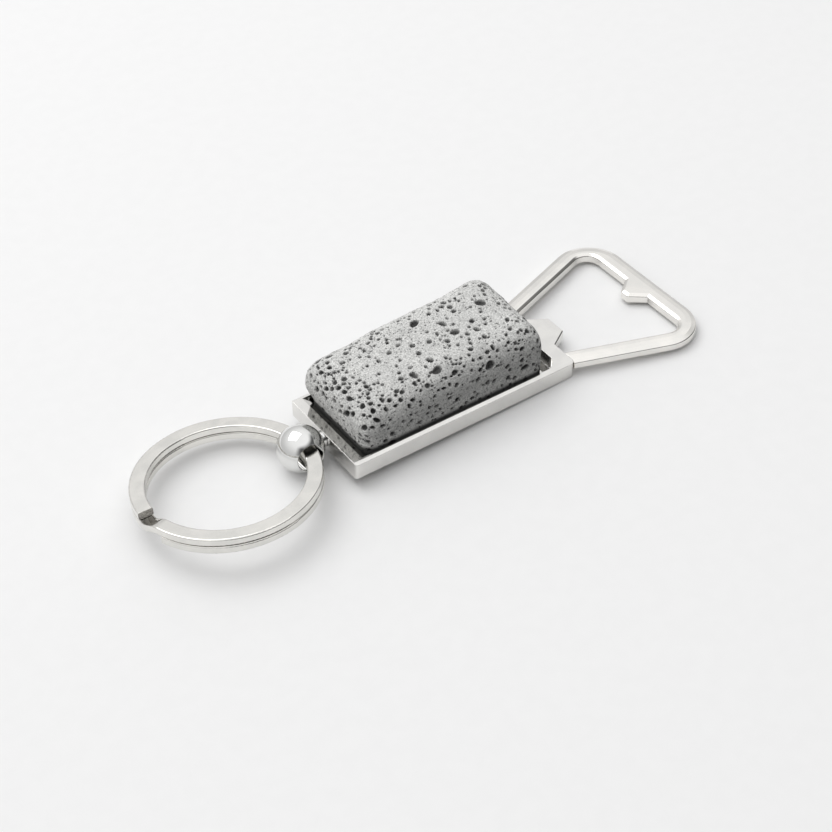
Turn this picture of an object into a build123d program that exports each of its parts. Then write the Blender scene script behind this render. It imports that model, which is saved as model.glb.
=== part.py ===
from build123d import *
import os
from math import cos, hypot, radians, sin, sqrt

os.makedirs("parts", exist_ok=True)

# Keychain bottle opener: a shallow metal tray frames a lava stone, a flat loop at one end lifts
# crown caps, and a drilled ball at the other end turns on a rivet and carries a split key ring.
# Millimetres. +X runs along the tray towards the opener loop and +Z up through the stone.
# The origin is the middle of the tray's flat underside.

# ------------------------------------------------------------------ tray
TRAY_LENGTH = 43.0
TRAY_WIDTH = 19.0
TRAY_HEIGHT = 3.2
TRAY_FLOOR = 0.9
SIDE_WALL = 0.9
RING_END_WALL = 2.6
HEAD_END_WALL = 2.6
TRAY_CORNER_R = 0.6
TRAY_EDGE_R = 0.2  # along the underside
SIDE_BEVEL = 0.55  # outward slope along the top of each long wall, seen from above
SIDE_BEVEL_DROP = 0.35
RING_END_BEVEL = 0.9  # inward slope along the top of the ring end wall
RING_END_BEVEL_DROP = 0.35
POCKET_RING_END_R = 0.8
POCKET_HEAD_END_R = 2.5

# ------------------------------------------------------------------ fulcrum tab on the head end wall
TAB_REACH = 3.5
TAB_ROOT_WIDTH = 8.5
TAB_TIP_WIDTH = 4.0
TAB_THICKNESS = 1.75
TAB_EDGE_R = 0.35

# ------------------------------------------------------------------ opener loop
LOOP_REACH = 24.6  # from the tray's end face to the outer face of the far bar
LOOP_SPREAD = 36.4  # outer width where the straight outer edges would meet
LOOP_THICKNESS = 1.75
ARM_WIDTH = 3.1
BAR_WIDTH = 3.6
LOOP_OUTER_R = 6.5
LOOP_INNER_R = 2.5
LOOP_BEVEL = 1.2  # outward slope round the outer top edge, seen from above
LOOP_BEVEL_DROP = 0.45
LOOP_INNER_BEVEL = 0.55  # inward slope round the inner top edge and the tooth
LOOP_INNER_BEVEL_DROP = 0.35
LOOP_CREASE_R = 0.5  # where the slopes leave the flat top
LOOP_OUTER_FOOT_R = 0.25  # where the outer slope meets the side
LOOP_INNER_FOOT_R = 0.2
LOOP_EDGE_R = 0.3  # along the underside
TOOTH_REACH = 2.7
TOOTH_ROOT_WIDTH = 6.0
TOOTH_TIP_WIDTH = 1.7
TOOTH_TIP_R = 0.65
TENON_LENGTH = 1.2
TENON_WIDTH = 1.5
TENON_HEIGHT = 0.9
BRAZE_GAP = 0.02  # all round each tenon in its socket

# ------------------------------------------------------------------ stone and its adhesive
STONE_RISE = 8.7  # above the tray's rim, at the middle of the stone's top
STONE_HEAD_END_LIFT = 1.2  # how much higher the cut top is at the head end than at the middle
STONE_FAR_SIDE_LIFT = 0.6  # and at the +Y side than at the middle
STONE_OVERHANG = 1.0  # how far the +Y side leans out over the rim
STONE_SIDE_GAP = 0.2
STONE_RING_END_GAP = 0.4
STONE_HEAD_END_GAP = 2.7
STONE_CORNER_R = 3.0
STONE_TOP_R = 2.6
STONE_BASE_R = 0.6
ADHESIVE_THICKNESS = 0.3
ADHESIVE_INSET = 1.0

# ------------------------------------------------------------------ swivel
BALL_DIAMETER = 7.8
BALL_BORE = 4.6
BALL_BORE_CHAMFER = 0.2
SWIVEL_RISE = 0.25  # of the swivel axis above the middle of the tray's height
REST_TURN = -5.0  # degrees that the ball and its ring are turned about the swivel axis at rest
COLLAR_DIAMETER = 2.9
COLLAR_LENGTH = 0.43  # between the ball's flat seat and the running clearance at the tray
SHANK_DIAMETER = 1.3
SHANK_IN_BALL = 0.8
RUNNING_CLEARANCE = 0.05  # round the shank and at both faces of the end wall
RIVET_HEAD_DIAMETER = 1.6
RIVET_HEAD_THICKNESS = 0.5
WASHER_THICKNESS = 0.3
HEAD_RECESS_CLEARANCE = 0.1  # round the head and the washer
HEAD_RECESS_DEPTH = 1.1

# ------------------------------------------------------------------ split ring
RING_DIAMETER = 30.0
RING_PULL = 0.4  # of the wire's middle towards the ring's, so that its curve clears both mouths
WIRE_WIDTH = 2.5
WIRE_THICKNESS = 1.3
WIRE_EDGE_R = 0.25
TURN_GAP = 0.1
# Angles round the ring's axis, counter-clockwise from the side that lies in the ball.
TOP_TURN_END = 178.0
RAMP_START = 179.5
RAMP_END = 196.5
BOTTOM_TURN_END = 199.0
RAMP_SECTIONS = 7

# ------------------------------------------------------------------ derived places
HEAD_FACE_X = TRAY_LENGTH / 2
RING_FACE_X = -TRAY_LENGTH / 2
POCKET_RING_X = RING_FACE_X + RING_END_WALL
POCKET_HEAD_X = HEAD_FACE_X - HEAD_END_WALL
POCKET_LENGTH = POCKET_HEAD_X - POCKET_RING_X
POCKET_WIDTH = TRAY_WIDTH - 2 * SIDE_WALL
SWIVEL_Z = TRAY_HEIGHT / 2 + SWIVEL_RISE
COLLAR_SEAT_X = RING_FACE_X - RUNNING_CLEARANCE - COLLAR_LENGTH
BALL_X = COLLAR_SEAT_X - sqrt((BALL_DIAMETER / 2) ** 2 - (COLLAR_DIAMETER / 2) ** 2)
RECESS_FLOOR_X = POCKET_RING_X - HEAD_RECESS_DEPTH
RING_X = BALL_X - (RING_DIAMETER - WIRE_WIDTH) / 2 + RING_PULL
ARM_SLOPE = (LOOP_SPREAD - TRAY_WIDTH) / 2 / LOOP_REACH
ARM_WIDTH_ACROSS = ARM_WIDTH * hypot(1, ARM_SLOPE)  # measured along Y
BAR_INNER_X = HEAD_FACE_X + LOOP_REACH - BAR_WIDTH


def block(x_low, x_high, y_low, y_high, z_low, z_high):
    """A rectangular block between its low and high corners."""
    size = (x_high - x_low, y_high - y_low, z_high - z_low)
    return Pos((x_low + x_high) / 2, (y_low + y_high) / 2, (z_low + z_high) / 2) * Box(*size)


def rod(radius, x_low, x_high):
    """A cylinder along X on the swivel axis."""
    middle = Pos((x_low + x_high) / 2, 0, SWIVEL_Z)
    return middle * Rot(0, 90, 0) * Cylinder(radius, x_high - x_low)


def plate(outline, z_low, z_high):
    """An outline extruded upwards between two heights."""
    return extrude(Pos(0, 0, z_low) * outline, amount=z_high - z_low)


def edges_at(shape, axis, value, tolerance=1e-3):
    """The edges whose every point has this coordinate."""
    low, high = value - tolerance, value + tolerance
    return [e for e in shape.edges()
            if low <= getattr(e.bounding_box().min, axis)
            and getattr(e.bounding_box().max, axis) <= high]


def on_outline(edge, outline):
    """Whether an edge's middle lies over an outline's border."""
    middle = edge @ 0.5
    return outline.wire().distance_to(Vector(middle.X, middle.Y, 0)) < 1e-3


def arm_root_y():
    """The middle of an arm where it meets the tray."""
    return TRAY_WIDTH / 2 - ARM_WIDTH_ACROSS / 2


def tenon(side, gap):
    """One arm's tenon, grown by a gap for its socket."""
    middle_y = side * arm_root_y()
    middle_z = TRAY_HEIGHT - LOOP_THICKNESS / 2
    return block(
        HEAD_FACE_X - TENON_LENGTH - gap, HEAD_FACE_X,
        middle_y - TENON_WIDTH / 2 - gap, middle_y + TENON_WIDTH / 2 + gap,
        middle_z - TENON_HEIGHT / 2 - gap, middle_z + TENON_HEIGHT / 2 + gap,
    )


def pocket_outline():
    """The tray's opening: tight corners at the ring end, wide ones at the head end."""
    middle_x = (POCKET_RING_X + POCKET_HEAD_X) / 2
    outline = Pos(middle_x, 0) * Rectangle(POCKET_LENGTH, POCKET_WIDTH)
    corners = outline.vertices().sort_by(Axis.X)
    outline = fillet(corners[2:], POCKET_HEAD_END_R)
    return fillet(outline.vertices().sort_by(Axis.X)[:2], POCKET_RING_END_R)


def tab():
    """The fulcrum tab that bears on the cap's top."""
    root, tip = TAB_ROOT_WIDTH / 2, TAB_TIP_WIDTH / 2
    tip_x = HEAD_FACE_X + TAB_REACH
    outline = make_face(Polyline(
        (HEAD_FACE_X, -root), (tip_x, -tip), (tip_x, tip), (HEAD_FACE_X, root), close=True))
    outline = fillet(outline.vertices().sort_by(Axis.X)[2:], TAB_EDGE_R)
    shape = plate(outline, TRAY_HEIGHT - TAB_THICKNESS, TRAY_HEIGHT)
    root_edges = edges_at(shape, "X", HEAD_FACE_X)
    top = [e for e in edges_at(shape, "Z", TRAY_HEIGHT) if e not in root_edges]
    return chamfer(top, TAB_EDGE_R / 2)


def make_tray():
    half, top = TRAY_WIDTH / 2, TRAY_HEIGHT
    shell = Pos(0, 0, TRAY_HEIGHT / 2) * Box(TRAY_LENGTH, TRAY_WIDTH, TRAY_HEIGHT)
    shell = fillet(shell.edges().filter_by(Axis.Z), TRAY_CORNER_R)
    shell = fillet(edges_at(shell, "Z", 0), TRAY_EDGE_R)
    # The long walls slope outwards along their tops, the whole length of the tray.
    section = make_face(Polyline(
        (-half, top - SIDE_BEVEL_DROP), (-half + SIDE_BEVEL, top), (half - SIDE_BEVEL, top),
        (half, top - SIDE_BEVEL_DROP), (half, 0), (-half, 0), close=True))
    shell &= extrude(Plane.YZ * section, amount=TRAY_LENGTH, both=True)
    shell -= plate(pocket_outline(), TRAY_FLOOR, TRAY_HEIGHT)
    # The ring end wall slopes down into the pocket.
    slope = make_face(Polyline(
        (POCKET_RING_X - RING_END_BEVEL, TRAY_HEIGHT),
        (POCKET_RING_X + POCKET_RING_END_R, TRAY_HEIGHT),
        (POCKET_RING_X + POCKET_RING_END_R, TRAY_HEIGHT - RING_END_BEVEL_DROP),
        (POCKET_RING_X, TRAY_HEIGHT - RING_END_BEVEL_DROP), close=True))
    shell -= extrude(Plane.XZ * slope, amount=POCKET_WIDTH / 2, both=True)
    shell += tab()
    for side in (-1, 1):
        shell -= tenon(side, BRAZE_GAP)
    head_radius = RIVET_HEAD_DIAMETER / 2 + HEAD_RECESS_CLEARANCE
    shell -= rod(SHANK_DIAMETER / 2 + RUNNING_CLEARANCE, RING_FACE_X, POCKET_RING_X)
    shell -= rod(head_radius, RECESS_FLOOR_X, POCKET_RING_X)
    return shell


def off_the_tray(edges):
    """The edges that don't lie in the tray's end face."""
    return [e for e in edges if e.bounding_box().max.X > HEAD_FACE_X + 1e-3]


def slope_edges(body, outline, outward, reach, drop):
    """A slope along the flat top's edges that follow an outline, or along the others."""
    top = body.faces().sort_by(Axis.Z)[-1]
    chosen = [e for e in off_the_tray(top.edges()) if on_outline(e, outline) == outward]
    return chamfer(chosen, reach, drop, reference=top)


def make_loop():
    far_x = HEAD_FACE_X + LOOP_REACH
    root, spread = TRAY_WIDTH / 2, LOOP_SPREAD / 2
    outer = make_face(Polyline(
        (HEAD_FACE_X, -root), (far_x, -spread), (far_x, spread), (HEAD_FACE_X, root), close=True))
    outer = fillet(outer.vertices().sort_by(Axis.X)[2:], LOOP_OUTER_R)
    inner_root = root - ARM_WIDTH_ACROSS
    inner_far = inner_root + ARM_SLOPE * (BAR_INNER_X - HEAD_FACE_X)
    inner = make_face(Polyline(
        (HEAD_FACE_X, -inner_root), (BAR_INNER_X, -inner_far),
        (BAR_INNER_X, inner_far), (HEAD_FACE_X, inner_root), close=True))
    inner = fillet(inner.vertices().sort_by(Axis.X)[2:], LOOP_INNER_R)
    # The tooth stands on the far bar's inner edge and hooks under a cap's skirt.
    tooth_tip_x = BAR_INNER_X - TOOTH_REACH
    tooth_root, tooth_tip = TOOTH_ROOT_WIDTH / 2, TOOTH_TIP_WIDTH / 2
    tooth = make_face(Polyline(
        (BAR_INNER_X, -tooth_root), (tooth_tip_x, -tooth_tip),
        (tooth_tip_x, tooth_tip), (BAR_INNER_X, tooth_root), close=True))
    tooth = fillet(tooth.vertices().sort_by(Axis.X)[:2], TOOTH_TIP_R)
    base_z = TRAY_HEIGHT - LOOP_THICKNESS
    body = plate(outer - (inner - tooth), base_z, TRAY_HEIGHT)
    body = slope_edges(body, outer, True, LOOP_BEVEL, LOOP_BEVEL_DROP)
    body = slope_edges(body, outer, False, LOOP_INNER_BEVEL, LOOP_INNER_BEVEL_DROP)
    for height, radius in (
            (TRAY_HEIGHT, LOOP_CREASE_R), (TRAY_HEIGHT - LOOP_BEVEL_DROP, LOOP_OUTER_FOOT_R),
            (TRAY_HEIGHT - LOOP_INNER_BEVEL_DROP, LOOP_INNER_FOOT_R), (base_z, LOOP_EDGE_R)):
        body = fillet(off_the_tray(edges_at(body, "Z", height)), radius)
    for side in (-1, 1):
        body += tenon(side, 0)
    return body


def make_stone():
    length = POCKET_LENGTH - STONE_RING_END_GAP - STONE_HEAD_END_GAP
    width = POCKET_WIDTH - 2 * STONE_SIDE_GAP
    middle_x = POCKET_RING_X + STONE_RING_END_GAP + length / 2
    base_z = TRAY_FLOOR + ADHESIVE_THICKNESS
    foot = Pos(middle_x, 0) * RectangleRounded(length, width, STONE_CORNER_R)
    # Above the rim the +Y side leans out, up to a height over the highest corner of the top.
    crest = STONE_RISE + STONE_HEAD_END_LIFT + STONE_FAR_SIDE_LIFT + STONE_TOP_R
    lean = STONE_OVERHANG * crest / STONE_RISE
    crown = Pos(middle_x, lean / 2) * RectangleRounded(length, width + lean, STONE_CORNER_R)
    stone = plate(foot, base_z, TRAY_HEIGHT)
    stone += loft([Pos(0, 0, TRAY_HEIGHT) * foot, Pos(0, 0, TRAY_HEIGHT + crest) * crown])
    along = Vector(length / 2, 0, STONE_HEAD_END_LIFT)
    across = Vector(0, width / 2, STONE_FAR_SIDE_LIFT)
    top = Plane(origin=(middle_x, 0, TRAY_HEIGHT + STONE_RISE), z_dir=along.cross(across))
    stone = split(stone, bisect_by=top, keep=Keep.BOTTOM)
    stone = fillet(stone.faces().sort_by(Axis.Z)[-1].edges(), STONE_TOP_R)
    stone = fillet(edges_at(stone, "Z", base_z), STONE_BASE_R)
    inset = 2 * ADHESIVE_INSET
    bed = Pos(middle_x, 0) * RectangleRounded(
        length - inset, width - inset, STONE_CORNER_R - ADHESIVE_INSET)
    return stone, plate(bed, TRAY_FLOOR, base_z)


def rest_turn(shape):
    """A shape turned about the swivel axis as the ball rests."""
    return Pos(0, 0, SWIVEL_Z) * Rot(REST_TURN, 0, 0) * Pos(0, 0, -SWIVEL_Z) * shape


def make_ball():
    bore_radius = BALL_BORE / 2
    centre = Pos(BALL_X, 0, SWIVEL_Z)
    ball = centre * Sphere(BALL_DIAMETER / 2)
    ball -= centre * Rot(90, 0, 0) * Cylinder(bore_radius, BALL_DIAMETER)
    # A countersink eases each mouth of the bore.
    mouth_y = sqrt((BALL_DIAMETER / 2) ** 2 - bore_radius ** 2)
    widest = bore_radius + 2 * BALL_BORE_CHAMFER
    for side in (-1, 1):
        sink = Rot(-90 * side, 0, 0) * Cone(bore_radius, widest, 2 * BALL_BORE_CHAMFER)
        ball -= Pos(BALL_X, side * mouth_y, SWIVEL_Z) * sink
    ball = rest_turn(ball)
    ball &= block(BALL_X - BALL_DIAMETER, COLLAR_SEAT_X, -BALL_DIAMETER, BALL_DIAMETER,
                  SWIVEL_Z - BALL_DIAMETER, SWIVEL_Z + BALL_DIAMETER)
    return ball - rod(SHANK_DIAMETER / 2, COLLAR_SEAT_X - SHANK_IN_BALL, COLLAR_SEAT_X)


def make_swivel_hardware():
    """The collar, the rivet and the washer, from the ball inwards."""
    shank_radius = SHANK_DIAMETER / 2
    collar = rod(COLLAR_DIAMETER / 2, COLLAR_SEAT_X, RING_FACE_X - RUNNING_CLEARANCE)
    collar -= rod(shank_radius, COLLAR_SEAT_X, RING_FACE_X)
    washer_x = RECESS_FLOOR_X + RUNNING_CLEARANCE
    head_x = washer_x + WASHER_THICKNESS
    head_radius = RIVET_HEAD_DIAMETER / 2
    washer = rod(head_radius, washer_x, head_x) - rod(shank_radius, washer_x, head_x)
    rivet = rod(shank_radius, COLLAR_SEAT_X - SHANK_IN_BALL, head_x)
    rivet += rod(head_radius, head_x, head_x + RIVET_HEAD_THICKNESS)
    return collar, rivet, washer


def wire_section(angle, height):
    """The wire's section in the radial plane at an angle, with its middle at a height."""
    turn = radians(angle)
    radius = (RING_DIAMETER - WIRE_WIDTH) / 2
    origin = (RING_X + radius * cos(turn), radius * sin(turn), height)
    plane = Plane(origin=origin, x_dir=(cos(turn), sin(turn), 0), z_dir=(-sin(turn), cos(turn), 0))
    return plane * RectangleRounded(WIRE_WIDTH, WIRE_THICKNESS, WIRE_EDGE_R)


def make_ring():
    rise = WIRE_THICKNESS + TURN_GAP
    low, high = SWIVEL_Z - rise / 2, SWIVEL_Z + rise / 2
    ring_axis = Axis((RING_X, 0, 0), (0, 0, 1))
    bottom_start = BOTTOM_TURN_END - 360
    bottom = revolve(wire_section(bottom_start, low), ring_axis, RAMP_START - bottom_start)
    top = revolve(wire_section(RAMP_END, high), ring_axis, TOP_TURN_END + 360 - RAMP_END)
    sections = []
    for i in range(RAMP_SECTIONS):
        share = i / (RAMP_SECTIONS - 1)
        eased = share * share * (3 - 2 * share)
        angle = RAMP_START + share * (RAMP_END - RAMP_START)
        sections.append(wire_section(angle, low + eased * rise))
    return rest_turn(bottom + loft(sections) + top)


stone, adhesive = make_stone()
collar, rivet, washer = make_swivel_hardware()
pieces = {
    "tray": make_tray(),
    "opener_loop": make_loop(),
    "lava_stone": stone,
    "adhesive_bed": adhesive,
    "swivel_ball": make_ball(),
    "neck_collar": collar,
    "swivel_rivet": rivet,
    "rivet_washer": washer,
    "split_ring": make_ring(),
}
for name, piece in pieces.items():
    export_step(piece, f"parts/{name}.step")
    print(name, "solids", len(piece.solids()), "volume", round(piece.volume, 3))
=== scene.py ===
"""Looks of a keychain bottle opener: plated tray and loop, lava stone, ball swivel, split ring."""
import math

import bpy
import numpy as np
from mathutils import Matrix, Vector


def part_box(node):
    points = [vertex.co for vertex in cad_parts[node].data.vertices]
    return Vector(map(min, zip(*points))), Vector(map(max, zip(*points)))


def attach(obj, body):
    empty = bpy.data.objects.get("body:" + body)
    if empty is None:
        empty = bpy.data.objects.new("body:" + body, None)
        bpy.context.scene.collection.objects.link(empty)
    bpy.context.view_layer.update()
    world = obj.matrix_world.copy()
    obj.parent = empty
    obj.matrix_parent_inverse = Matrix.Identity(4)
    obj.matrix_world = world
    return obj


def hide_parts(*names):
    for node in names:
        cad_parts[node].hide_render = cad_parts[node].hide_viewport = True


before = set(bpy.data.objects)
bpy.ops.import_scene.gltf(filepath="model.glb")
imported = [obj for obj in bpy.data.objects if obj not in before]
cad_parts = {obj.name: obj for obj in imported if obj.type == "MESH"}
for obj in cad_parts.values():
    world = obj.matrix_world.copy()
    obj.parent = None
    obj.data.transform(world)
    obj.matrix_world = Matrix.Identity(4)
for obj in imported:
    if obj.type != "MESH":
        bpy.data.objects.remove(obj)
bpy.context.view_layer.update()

MM = 0.001

# ------------------------------------------------------------------ camera
CAMERA_PLACE = (-130.98 * MM, -187.35 * MM, 197.06 * MM)
CAMERA_HEADING = 34.2  # degrees from +Y towards +X
CAMERA_TILT = 41.4  # degrees below the horizon
CAMERA_ROLL = -0.92
LENS = 80.05
SENSOR = 36.0


def make_camera():
    heading, tilt, roll = (math.radians(x) for x in (CAMERA_HEADING, CAMERA_TILT, CAMERA_ROLL))
    across = math.cos(tilt)
    forward = Vector((math.sin(heading) * across, math.cos(heading) * across, -math.sin(tilt)))
    level = Vector((math.cos(heading), -math.sin(heading), 0))
    right = (Matrix.Rotation(-roll, 3, forward) @ level).normalized()
    up = right.cross(forward)
    data = bpy.data.cameras.new("camera")
    data.lens, data.sensor_width = LENS, SENSOR
    data.clip_start, data.clip_end = 0.01, 20
    camera = bpy.data.objects.new("camera", data)
    rotation = Matrix((right, up, -forward)).transposed().to_4x4()
    camera.matrix_world = Matrix.Translation(CAMERA_PLACE) @ rotation
    bpy.context.scene.collection.objects.link(camera)
    bpy.context.scene.camera = camera


# ------------------------------------------------------------------ node trees
class Tree:
    """A node tree under construction, whose calls each add one node and return its output."""

    def __init__(self, tree):
        self.tree = tree

    def node(self, kind, inputs=(), **settings):
        made = self.tree.nodes.new(kind)
        for name, value in settings.items():
            setattr(made, name, value)
        for name, value in dict(inputs).items():
            if isinstance(value, bpy.types.NodeSocket):
                self.tree.links.new(value, made.inputs[name])
            else:
                made.inputs[name].default_value = value
        return made

    def math(self, operation, first, second=0.0):
        return self.node("ShaderNodeMath", {0: first, 1: second}, operation=operation).outputs[0]

    def vector(self, operation, first, second=(0, 0, 0)):
        made = self.node("ShaderNodeVectorMath", {0: first, 1: second}, operation=operation)
        return made.outputs["Value" if operation in ("DOT_PRODUCT", "LENGTH") else "Vector"]

    def span(self, value, low, high, out_low=0.0, out_high=1.0):
        """A smooth step of a value from one range to another."""
        inputs = {"Value": value, "From Min": low, "From Max": high, "To Min": out_low, "To Max": out_high}
        return self.node("ShaderNodeMapRange", inputs, interpolation_type="SMOOTHSTEP").outputs["Result"]

    def blend(self, share, first, second):
        """A mix of two colours or sockets."""
        made = self.node("ShaderNodeMix", {"Factor": share}, data_type="RGBA")
        for socket, value in ((made.inputs[6], first), (made.inputs[7], second)):
            if isinstance(value, bpy.types.NodeSocket):
                self.tree.links.new(value, socket)
            else:
                socket.default_value = (*value, 1)
        return made.outputs[2]

    def noise(self, place, size, detail=2.0, roughness=0.5):
        """Noise with features of about a size in metres, from 0 to 1."""
        inputs = {"Vector": place, "Scale": 1 / size, "Detail": detail, "Roughness": roughness}
        return self.node("ShaderNodeTexNoise", inputs).outputs["Fac"]

    def cells(self, place, size):
        """The distance to the nearest of random points about a size apart, in sizes."""
        return self.node("ShaderNodeTexVoronoi", {"Vector": place, "Scale": 1 / size}).outputs["Distance"]

    def bump(self, height, depth, normal=None):
        inputs = {"Height": height, "Strength": 1.0, "Distance": depth}
        if normal is not None:
            inputs["Normal"] = normal
        return self.node("ShaderNodeBump", inputs).outputs["Normal"]


class Look(Tree):
    """A material's tree, with its shader and the place on the object."""

    def __init__(self, name):
        self.material = bpy.data.materials.new(name)
        self.material.use_nodes = True
        super().__init__(self.material.node_tree)
        self.shader = self.tree.nodes["Principled BSDF"]
        coordinates = self.tree.nodes.new("ShaderNodeTexCoord")
        self.place = coordinates.outputs["Object"]
        self.facing = coordinates.outputs["Normal"]

    def set(self, **values):
        for name, value in values.items():
            socket = self.shader.inputs[name.replace("_", " ").title()]
            if isinstance(value, bpy.types.NodeSocket):
                self.tree.links.new(value, socket)
            else:
                socket.default_value = value


# ------------------------------------------------------------------ metals
def plated(name, light, dark, rough, edge=0.12 * MM, waviness=0.0012 * MM):
    """Polished plate: cloudy tone, hairline scratches, soft edges and a slightly uneven cast."""
    look = Look(name)
    cloud = look.noise(look.place, 3.5 * MM, 4)
    stretched = look.vector("MULTIPLY", look.place, (1, 9, 9))
    hairs = look.noise(stretched, 0.9 * MM, 5, 0.7)
    specks = look.span(look.cells(look.place, 1.1 * MM), 0.03, 0.1)
    tone = look.blend(look.span(cloud, 0.35, 0.65), dark, light)
    look.set(
        base_color=look.blend(look.math("MULTIPLY", look.span(hairs, 0.6, 0.75), 0.25), tone, dark),
        metallic=1.0,
        roughness=look.math("ADD", look.span(hairs, 0.4, 0.75, rough, rough * 2.2),
                            look.span(cloud, 0.3, 0.7, 0.0, rough * 0.6)),
    )
    soft_edge = look.node("ShaderNodeBevel", {"Radius": edge}, samples=6).outputs["Normal"]
    wavy = look.bump(look.noise(look.place, 2.6 * MM, 1), waviness, soft_edge)
    pitted = look.bump(specks, 0.0015 * MM, wavy)
    look.set(normal=look.bump(hairs, 0.0006 * MM, pitted))
    return look


def ring_metal():
    """The ring's plate, bare and rough where the wire was cut off."""
    look = plated("ring_plate", (0.81, 0.795, 0.76), (0.74, 0.73, 0.7), 0.09)
    low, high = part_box("split_ring")
    middle = (low + high) / 2
    arm = look.vector("SUBTRACT", look.place, tuple(middle))
    along = look.vector("NORMALIZE", look.vector("CROSS_PRODUCT", arm, (0, 0, 1)))
    ends = look.span(look.math("ABSOLUTE", look.vector("DOT_PRODUCT", along, look.facing)), 0.8, 0.95)
    grit = look.noise(look.place, 0.25 * MM, 3, 0.7)
    colour = look.shader.inputs["Base Color"].links[0].from_socket
    rough = look.shader.inputs["Roughness"].links[0].from_socket
    cut = look.blend(look.span(grit, 0.35, 0.65), (0.2, 0.19, 0.18), (0.6, 0.58, 0.55))
    look.set(
        base_color=look.blend(ends, colour, cut),
        roughness=look.math("ADD", rough, look.math("MULTIPLY", ends, 0.4)),
    )
    return look


def steel():
    """Drawn rivet steel: a darker, rougher plate with hairline scratches."""
    return plated("rivet_plate", (0.6, 0.6, 0.59), (0.42, 0.42, 0.41), 0.22, 0.06 * MM)


def epoxy():
    """Dark cured adhesive with dust and shallow ripples."""
    look = Look("epoxy")
    ripple = look.noise(look.place, 1.4 * MM, 3)
    dust = look.span(look.noise(look.place, 0.15 * MM, 2), 0.6, 0.75)
    look.set(
        base_color=look.blend(dust, (0.03, 0.03, 0.03), (0.16, 0.155, 0.15)),
        roughness=look.span(dust, 0, 1, 0.18, 0.6),
        normal=look.bump(ripple, 0.06 * MM),
    )
    return look


# ------------------------------------------------------------------ lava stone
STONE_NODE = "lava_stone"
CELL = 0.168  # all the stone's sizes are in millimetres
STONE_TOP = 11.9  # the cut top at the stone's middle
TOP_LIFT = (1.2, 0.6)  # how much higher its head end and its far side are than its middle
OVERHANG = 1.0
RING_END_FLARE = 1.2  # how far the ring end's far corner stands out over the rim
RING_END_REACH = 0.2  # past the CAD block, nearer the pocket's wall
RIM = 3.2
CORNER_ROUND = 2.4
TOP_ROUND = 4.6
BASE_ROUND = 0.7
CORE_INSET = 4.4
OUTER_MARGIN = 1.5
GRAIN_HEIGHT = 0.014
WEAR = ((0.11, 6.0, 11), (0.07, 2.4, 12), (0.035, 0.8, 13))  # height, width and seed of its unevenness
BISECTIONS = 22
SLOPE_STEP = 0.12
PORE_TRIES = 30
PORE_SPACING = 0.95  # least distance between two pores' middles, as a share of their reaches together
PORE_SCATTER = 32.0  # degrees, about the mean direction
# Half the length, its share across, the depth and how many, for each size of pore.
PORES = (
    (0.56, 0.86, 0.55, 0.85, 0.60, 0.85, 34),
    (0.32, 0.48, 0.70, 0.98, 0.45, 0.65, 200),
    (0.20, 0.32, 0.78, 1.00, 0.28, 0.42, 300),
    (0.13, 0.19, 0.75, 1.00, 0.18, 0.26, 220),
)
PORE_TURN = -34.0  # degrees: the mean direction of the pores' long axis, from +X


def lattice_noise(points, cell, seed):
    """Smooth noise from -1 to 1 with features about a cell wide."""
    size = 32
    table = np.random.default_rng(seed).uniform(-1, 1, (size, size, size))
    place = points / cell
    base = np.floor(place).astype(int)
    share = place - base
    share = share * share * (3 - 2 * share)
    total = np.zeros(len(points))
    for corner in np.ndindex(2, 2, 2):
        weight = np.prod(np.where(corner, share, 1 - share), axis=1)
        index = (base + corner) % size
        total += weight * table[index[:, 0], index[:, 1], index[:, 2]]
    return total


def smooth_max(first, second, width):
    near = np.maximum(width - np.abs(first - second), 0)
    return np.maximum(first, second) + near * near / (4 * width)


def ease(value, low, high):
    share = np.clip((value - low) / (high - low), 0, 1)
    return share * share * (3 - 2 * share)


def stone_distance(points, low, high):
    """How far points lie outside the worn stone block, in millimetres, negative inside."""
    x, y, z = points.T
    middle_x, half_x = (low[0] + high[0]) / 2, (high[0] - low[0]) / 2
    half_y = -low[1]
    flare = RING_END_FLARE * ease(z, RIM, RIM + 3.5) * np.clip((y + half_y) / (2 * half_y), 0, 1)
    ends = np.maximum(x - high[0], low[0] - RING_END_REACH - flare - x)
    lean = OVERHANG * np.clip((z - RIM) / (STONE_TOP - RIM), 0, 2)
    sides = np.maximum(y - half_y - lean, -half_y - y)
    top = STONE_TOP + TOP_LIFT[0] * (x - middle_x) / half_x + TOP_LIFT[1] * y / half_y
    walls = smooth_max(ends, sides, CORNER_ROUND)
    body = smooth_max(smooth_max(walls, z - top, TOP_ROUND), low[2] - z, BASE_ROUND)
    worn = sum(height * lattice_noise(points, cell, seed) for height, cell, seed in WEAR)
    return body + worn * ease(z, RIM - 0.5, RIM + 2.5)


def box_lattice(low, high):
    """The surface of a box as a lattice of square cells: its points and its quads."""
    counts = np.maximum(np.round((high - low) / CELL).astype(int), 1)
    points, quads, total = [], [], 0
    for axis in range(3):
        first, second = (axis + 1) % 3, (axis + 2) % 3
        rows, columns = counts[first] + 1, counts[second] + 1
        i, j = np.meshgrid(np.arange(rows), np.arange(columns), indexing="ij")
        corner = (np.arange(rows - 1)[:, None] * columns + np.arange(columns - 1)).ravel()
        loop = np.stack([corner, corner + columns, corner + columns + 1, corner + 1], axis=1)
        for end in (0, counts[axis]):
            lattice = np.zeros((rows * columns, 3), int)
            lattice[:, axis] = end
            lattice[:, first], lattice[:, second] = i.ravel(), j.ravel()
            points.append(lattice)
            quads.append((loop if end else loop[:, ::-1]) + total)
            total += len(lattice)
    lattice, index = np.unique(np.concatenate(points), axis=0, return_inverse=True)
    return low + lattice * (high - low) / counts, index.ravel()[np.concatenate(quads)]


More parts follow.
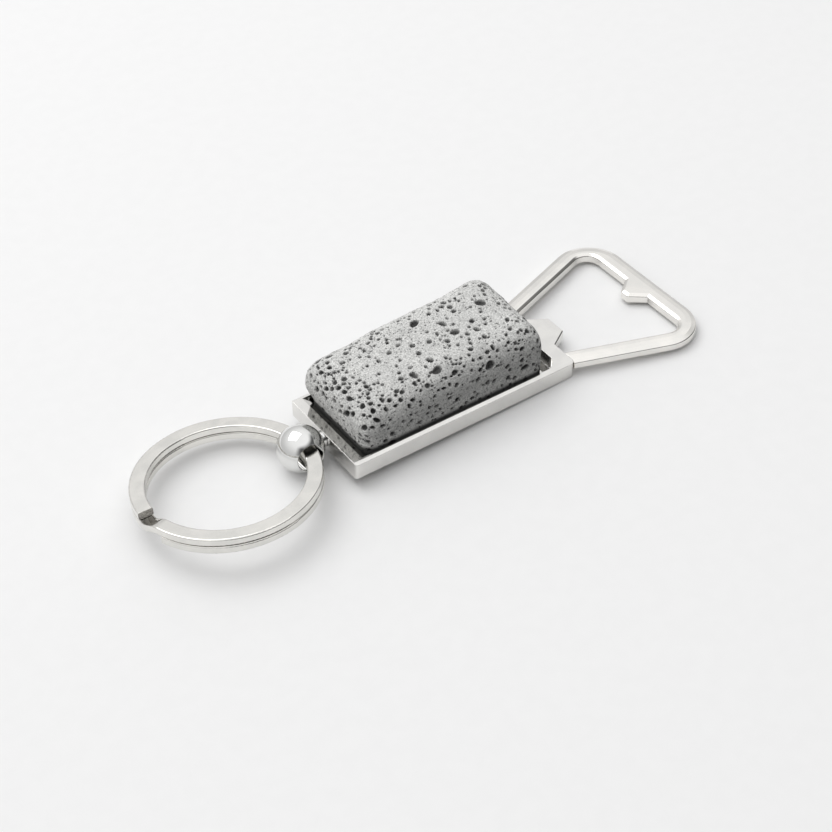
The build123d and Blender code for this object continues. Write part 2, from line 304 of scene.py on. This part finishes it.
def stone_surface(low, high):
    """Points of the stone's skin with their outward directions, and its quads."""
    inner_low, inner_high = low + CORE_INSET, high - CORE_INSET
    inner_high[2] = STONE_TOP - TOP_LIFT[0] - TOP_LIFT[1] - CORE_INSET
    outer, quads = box_lattice(low - OUTER_MARGIN, high + OUTER_MARGIN)
    core = np.clip(outer, inner_low, inner_high)
    near, far = np.zeros(len(outer)), np.ones(len(outer))
    for _ in range(BISECTIONS):
        share = (near + far) / 2
        inside = stone_distance(core + (outer - core) * share[:, None], low, high) < 0
        near, far = np.where(inside, share, near), np.where(inside, far, share)
    points = core + (outer - core) * near[:, None]
    slopes = [stone_distance(points + shift, low, high) - stone_distance(points - shift, low, high)
              for shift in SLOPE_STEP * np.eye(3)]
    normals = np.stack(slopes, axis=1)
    return points, normals / np.linalg.norm(normals, axis=1)[:, None], quads


def carve_pores(points, normals):
    """How deep each point sinks into a pore, and how much painted shade darkens the pore there."""
    rng = np.random.default_rng(7)
    depth, dark = np.zeros(len(points)), np.zeros(len(points))
    crowd = 0.5 + 0.5 * lattice_noise(points, 4.5, 21) + 0.25 * ease(points[:, 0], -14, 14)
    open_air = np.flatnonzero(points[:, 2] > RIM - 0.4)
    taken = []
    for low_half, high_half, low_share, high_share, low_deep, high_deep, count in PORES:
        for _ in range(count):
            half = rng.uniform(low_half, high_half)
            for _ in range(PORE_TRIES):
                centre = open_air[rng.integers(len(open_air))]
                place = points[centre]
                wanted = rng.uniform() < 0.4 + 0.6 * crowd[centre]
                gaps = [np.linalg.norm(place - other) - PORE_SPACING * (half + size) for other, size in taken]
                if wanted and (not gaps or min(gaps) > 0.05):
                    break
            taken.append((place, half))
            normal = normals[centre]
            turn = math.radians(PORE_TURN + rng.normal(0, PORE_SCATTER))
            along = np.array([math.cos(turn), math.sin(turn), 0.25 * rng.normal()])
            along -= normal * (along @ normal)
            along /= np.linalg.norm(along)
            across = np.cross(normal, along)
            width = half * rng.uniform(low_share, high_share)
            near = np.flatnonzero(((points - place) ** 2).sum(axis=1) < (1.6 * half) ** 2)
            offset = points[near] - place
            u, v = offset @ along / half, offset @ across / width
            angle, wobble = np.arctan2(v, u), rng.uniform(0, 2 * np.pi, 2)
            ragged = 1 + 0.08 * np.sin(2 * angle + wobble[0]) + 0.06 * np.sin(3 * angle + wobble[1])
            reach = np.hypot(u, v) * ragged
            sunk = rng.uniform(low_deep, high_deep) * np.clip(1 - reach ** 3, 0, 1) ** 0.4
            depth[near] = np.maximum(depth[near], sunk)
            # Painted shade: each pore's colour is darkened over its carved depth.
            shade = rng.uniform(0.8, 1.0) * np.clip((1.14 - reach) / 0.2, 0, 1)
            dark[near] = np.maximum(dark[near], shade)
    return depth, dark


def make_stone():
    low, high = (np.array(corner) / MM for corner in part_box(STONE_NODE))
    points, normals, quads = stone_surface(low, high)
    depth, dark = carve_pores(points, normals)
    grain = GRAIN_HEIGHT * np.random.default_rng(3).normal(0, 1, len(points))
    grain *= points[:, 2] > RIM
    points = points + normals * (grain - depth)[:, None]
    mesh = bpy.data.meshes.new("lava_block")
    mesh.from_pydata((points * MM).tolist(), [], quads.tolist())
    mesh.attributes.new("pore", "FLOAT", "POINT").data.foreach_set("value", dark.astype(np.float32))
    mesh.polygons.foreach_set("use_smooth", [True] * len(mesh.polygons))
    mesh.update()
    stone = bpy.data.objects.new("lava_block", mesh)
    bpy.context.scene.collection.objects.link(stone)
    mesh.materials.append(lava().material)
    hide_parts(STONE_NODE)
    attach(stone, "root")
    return stone


def lava():
    """Grey lava: salt-and-pepper grain, pinholes, pores painted near-black as shade, and painted shade along
    its foot.
    """
    look = Look("lava")
    fine = look.noise(look.place, 0.26 * MM, 3, 0.75)
    pepper = look.noise(look.place, 0.42 * MM, 2, 0.6)
    cloud = look.noise(look.place, 5 * MM, 3, 0.6)
    pinholes = look.span(look.cells(look.place, 0.75 * MM), 0.1, 0.2)
    grain = look.blend(look.span(fine, 0.34, 0.66), (0.42, 0.42, 0.41), (0.84, 0.84, 0.82))
    flecks = look.blend(look.span(pepper, 0.30, 0.41), (0.13, 0.13, 0.13), grain)
    toned = look.blend(look.span(cloud, 0.35, 0.65, 0.0, 0.22), flecks, (0.42, 0.42, 0.415))
    pinned = look.blend(pinholes, (0.12, 0.12, 0.12), toned)
    # Painted shade: the stone's colour darkens to near-black along its foot just above the rim, where the
    # pocket shades it.
    height = look.node("ShaderNodeSeparateXYZ", {"Vector": look.place}).outputs["Z"]
    painted_foot_shade = look.span(height, (RIM + 0.1) * MM, (RIM + 1.1) * MM)
    pinned = look.blend(painted_foot_shade, (0.045, 0.045, 0.044), pinned)
    pore = look.node("ShaderNodeAttribute", attribute_name="pore").outputs["Fac"]
    # Painted shade: near-black colour inside the pores, on top of their carved depth.
    pore_shade_colour = look.blend(look.span(fine, 0.35, 0.7), (0.008, 0.008, 0.008), (0.035, 0.035, 0.035))
    rough = look.bump(fine, 0.05 * MM)
    look.set(
        base_color=look.blend(pore, pinned, pore_shade_colour),
        roughness=look.span(fine, 0.3, 0.7, 0.8, 0.98),
        normal=look.bump(pinholes, 0.06 * MM, rough),
    )
    look.shader.inputs["Specular IOR Level"].default_value = 0.3
    return look


# ------------------------------------------------------------------ light and floor
PALE = 0.86
BOUNCE = 0.12
FLOOR_SIZE = 20.0
FLOOR_GAP = 0.03 * MM
SKY_LOW = 0.66  # at the horizon
SKY_HIGH = 1.08  # overhead
BAND_DEPTH = 0.88  # how much of the light the unlit side loses
DARK_SIDE = (0.45, -0.89, 0.0)  # the unlit side of the studio
KEY_PLACE = (-0.12, 0.26, 0.52)
KEY_SIZE = 0.45
KEY_WATTS = 1.15


def direct_ray(tree):
    """1 for a ray from the camera, a mirror or glass, and 0 for scattered light."""
    path = tree.node("ShaderNodeLightPath").outputs
    seen = tree.math("MAXIMUM", path["Is Camera Ray"], path["Is Glossy Ray"])
    return tree.math("MAXIMUM", seen, path["Is Transmission Ray"])


def make_world():
    """A soft studio sky: a bright ceiling, pale far walls and one unlit side."""
    world = bpy.data.worlds.new("studio")
    world.use_nodes = True
    bpy.context.scene.world = world
    tree = Tree(world.node_tree)
    aim = tree.node("ShaderNodeTexCoord").outputs["Generated"]
    height = tree.node("ShaderNodeSeparateXYZ", {"Vector": aim}).outputs["Z"]
    sky = tree.span(height, 0.05, 0.95, SKY_LOW, SKY_HIGH)
    side = tree.span(tree.vector("DOT_PRODUCT", aim, DARK_SIDE), 0.05, 0.5)
    raised = tree.math("MULTIPLY", tree.span(height, 0.05, 0.2), tree.span(height, 0.6, 0.85, 1.0, 0.0))
    dim = tree.math("SUBTRACT", 1.0, tree.math("MULTIPLY", tree.math("MULTIPLY", side, raised), BAND_DEPTH))
    level = tree.math("MULTIPLY", sky, dim)
    tree.tree.links.new(level, world.node_tree.nodes["Background"].inputs["Color"])


def make_floor():
    """A pale plane that the ball and the tray's head end rest on."""
    ball_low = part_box("swivel_ball")[0].z - FLOOR_GAP
    ball_x = (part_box("swivel_ball")[0].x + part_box("swivel_ball")[1].x) / 2
    tray_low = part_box("tray")[0]
    head_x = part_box("opener_loop")[0].x
    slope = math.atan2(tray_low.z - FLOOR_GAP - ball_low, head_x - ball_x)
    bpy.ops.mesh.primitive_plane_add(size=FLOOR_SIZE)
    floor = bpy.context.object
    floor.name = "floor"
    floor.rotation_euler = (0, -slope, 0)
    floor.location = (ball_x, 0, ball_low)
    look = Look("floor")
    grain = look.span(look.noise(look.place, 3 * MM, 3), 0.3, 0.7)
    pale = look.blend(grain, (PALE, PALE, PALE), (PALE - 0.01, PALE - 0.01, PALE - 0.01))
    look.set(base_color=look.blend(direct_ray(look), (BOUNCE, BOUNCE, BOUNCE), pale), roughness=0.9)
    look.shader.inputs["Specular IOR Level"].default_value = 0.1
    floor.data.materials.append(look.material)


def make_lamp():
    lamp = bpy.data.lights.new("key", "AREA")
    lamp.energy, lamp.size = KEY_WATTS, KEY_SIZE
    key = bpy.data.objects.new("key", lamp)
    key.location = KEY_PLACE
    key.rotation_euler = Vector(KEY_PLACE).to_track_quat("Z", "Y").to_euler()
    bpy.context.scene.collection.objects.link(key)


make_camera()
bpy.context.scene.view_settings.view_transform = "Standard"
make_world()
make_floor()
make_lamp()

tray_plate = plated("tray_plate", (0.8, 0.79, 0.765), (0.75, 0.74, 0.72), 0.06)
ball_plate = plated("ball_plate", (0.79, 0.79, 0.78), (0.76, 0.76, 0.75), 0.03, waviness=0.002 * MM)
NODE_LOOKS = {
    "tray": tray_plate,
    "opener_loop": plated("loop_plate", (0.87, 0.85, 0.815), (0.82, 0.805, 0.775), 0.07),
    "adhesive_bed": epoxy(),
    "swivel_ball": ball_plate,
    "neck_collar": ball_plate,
    "swivel_rivet": steel(),
    "rivet_washer": steel(),
    "split_ring": ring_metal(),
}
for name, look in NODE_LOOKS.items():
    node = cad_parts[name]
    node.data.materials.clear()
    node.data.materials.append(look.material)
make_stone()
